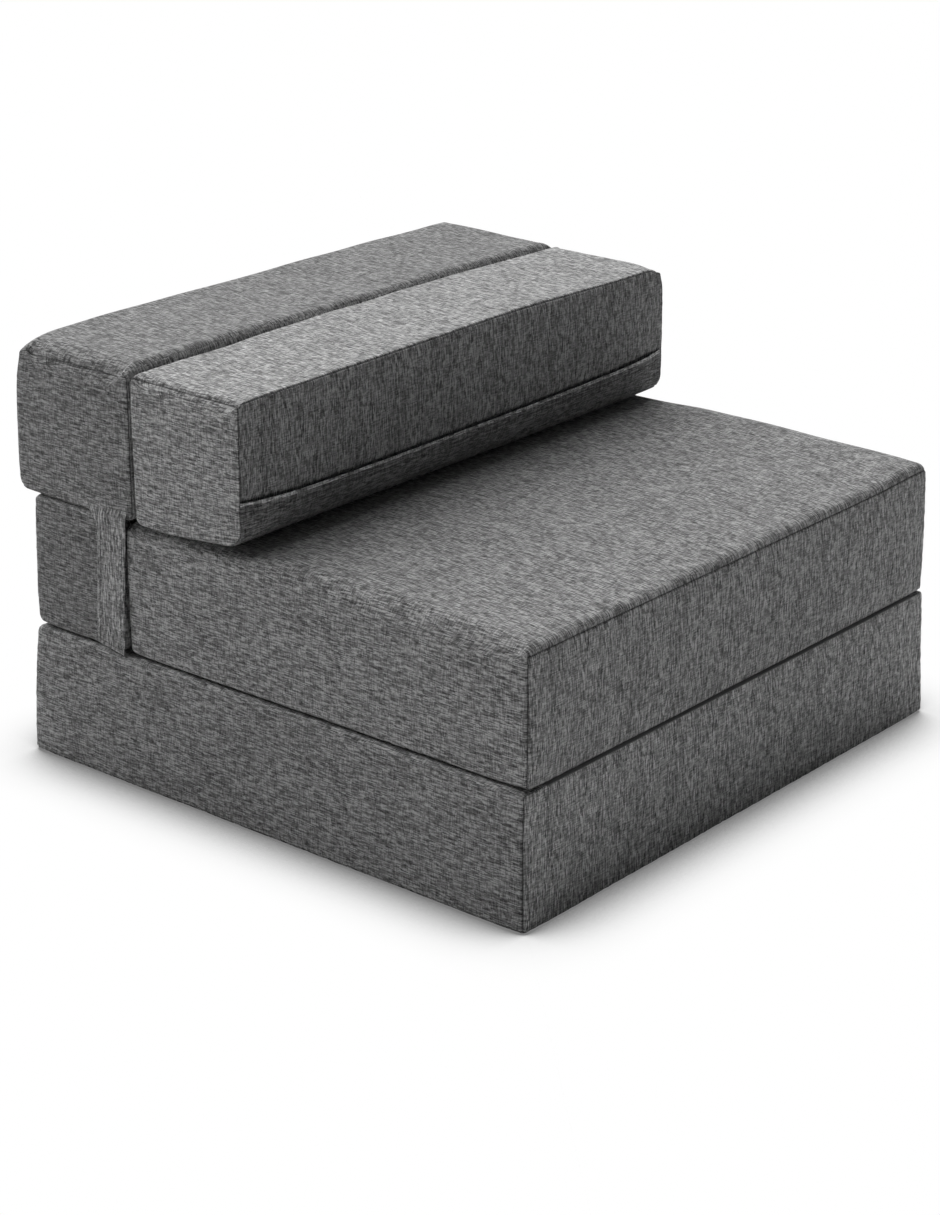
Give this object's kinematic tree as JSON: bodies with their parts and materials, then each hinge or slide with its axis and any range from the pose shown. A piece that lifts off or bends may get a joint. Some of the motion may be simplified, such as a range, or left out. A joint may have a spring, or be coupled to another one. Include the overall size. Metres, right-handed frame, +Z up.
{
  "type": "convertible chair bed",
  "caption": "Upholstered foam guest chair that unfolds into a flat single bed, with a low two-part back, zipped fabric covers and side tabs.",
  "frame": {"origin": "middle of the width and depth of the folded chair, on the floor", "axes": "+Z up, -Y out of the front of the seat, +X to the right of a person who looks at that front"},
  "size_m": [0.813, 0.808, 0.5288],
  "materials": {
    "cover_fabric": "grey melange woven upholstery cloth, matt",
    "foam": "open-cell polyurethane foam, matt",
    "zip_tape": "woven zip tape with a nylon coil",
    "zip_metal": "nickel plated, satin",
    "webbing": "flat woven tape, matt",
    "touch_fastener": "hook and loop pile"
  },
  "bodies": {
    "base": {"base_foam": "foam", "base_cover": "cover_fabric", "base_zip_tape": "zip_tape", "seat_hinge_tape": "webbing"},
    "seat_layer": {"seat_foam": "foam", "seat_cover": "cover_fabric", "seat_zip_tape": "zip_tape", "lower_back_foam": "foam", "lower_back_cover": "cover_fabric", "lower_back_zip_tape": "zip_tape", "seat_joining_tape": "webbing", "back_hinge_tape": "webbing", "left_tab_loop_patch": "touch_fastener", "right_tab_loop_patch": "touch_fastener"},
    "rear_back": {"rear_back_foam": "foam", "rear_back_cover": "cover_fabric", "rear_back_zip_tape": "zip_tape", "bolster_hinge_tape": "webbing"},
    "front_back": {"front_back_foam": "foam", "front_back_cover": "cover_fabric", "front_back_zip_tape": "zip_tape", "front_back_zip_flap": "cover_fabric"},
    "left_tab": {"left_side_tab": "cover_fabric", "left_tab_hook_patch": "touch_fastener"},
    "right_tab": {"right_side_tab": "cover_fabric", "right_tab_hook_patch": "touch_fastener"},
    "base_slider": {"base_zip_slider": "zip_metal", "base_zip_pull": "zip_metal"},
    "seat_slider": {"seat_zip_slider": "zip_metal", "seat_zip_pull": "zip_metal"},
    "lower_back_slider": {"lower_back_zip_slider": "zip_metal", "lower_back_zip_pull": "zip_metal"},
    "rear_back_slider": {"rear_back_zip_slider": "zip_metal", "rear_back_zip_pull": "zip_metal"},
    "front_back_slider": {"front_back_zip_slider": "zip_metal", "front_back_zip_pull": "zip_metal"}
  },
  "joints": [
    {"name": "seat_unfold", "type": "hinge", "parent": "base", "child": "seat_layer", "pos_m": [0, -0.40449, 0.1709], "axis": [1, 0, 0], "range_deg": [0, 180]},
    {"name": "back_unfold", "type": "hinge", "parent": "seat_layer", "child": "rear_back", "pos_m": [0, 0.39376, 0.3427], "axis": [-1, 0, 0], "range_deg": [0, 180]},
    {"name": "bolster_flip", "type": "hinge", "parent": "rear_back", "child": "front_back", "pos_m": [0, 0.20231, 0.5294], "axis": [-1, 0, 0], "range_deg": [0, 180]},
    {"name": "left_tab_lift", "type": "hinge", "parent": "rear_back", "child": "left_tab", "pos_m": [-0.4045, 0.24781, 0.3436], "axis": [0, 1, 0], "range_deg": [0, 90]},
    {"name": "right_tab_lift", "type": "hinge", "parent": "rear_back", "child": "right_tab", "pos_m": [0.4045, 0.24781, 0.3436], "axis": [0, -1, 0], "range_deg": [0, 90]},
    {"name": "base_zip_slide", "type": "slide", "parent": "base", "child": "base_slider", "axis": [-1, 0, 0], "range_m": [0, 0.582]},
    {"name": "seat_zip_slide", "type": "slide", "parent": "seat_layer", "child": "seat_slider", "axis": [-1, 0, 0], "range_m": [0, 0.582]},
    {"name": "lower_back_zip_slide", "type": "slide", "parent": "seat_layer", "child": "lower_back_slider", "axis": [-1, 0, 0], "range_m": [0, 0.582]},
    {"name": "rear_back_zip_slide", "type": "slide", "parent": "rear_back", "child": "rear_back_slider", "axis": [-1, 0, 0], "range_m": [0, 0.582]},
    {"name": "front_back_zip_slide", "type": "slide", "parent": "front_back", "child": "front_back_slider", "axis": [-1, 0, 0], "range_m": [0, 0.582]}
  ],
  "couplings": [
    {"joint": "back_unfold", "follows": "seat_unfold", "ratio": 1},
    {"joint": "left_tab_lift", "follows": "seat_unfold", "ratio": 0.5},
    {"joint": "right_tab_lift", "follows": "seat_unfold", "ratio": 0.5}
  ]
}
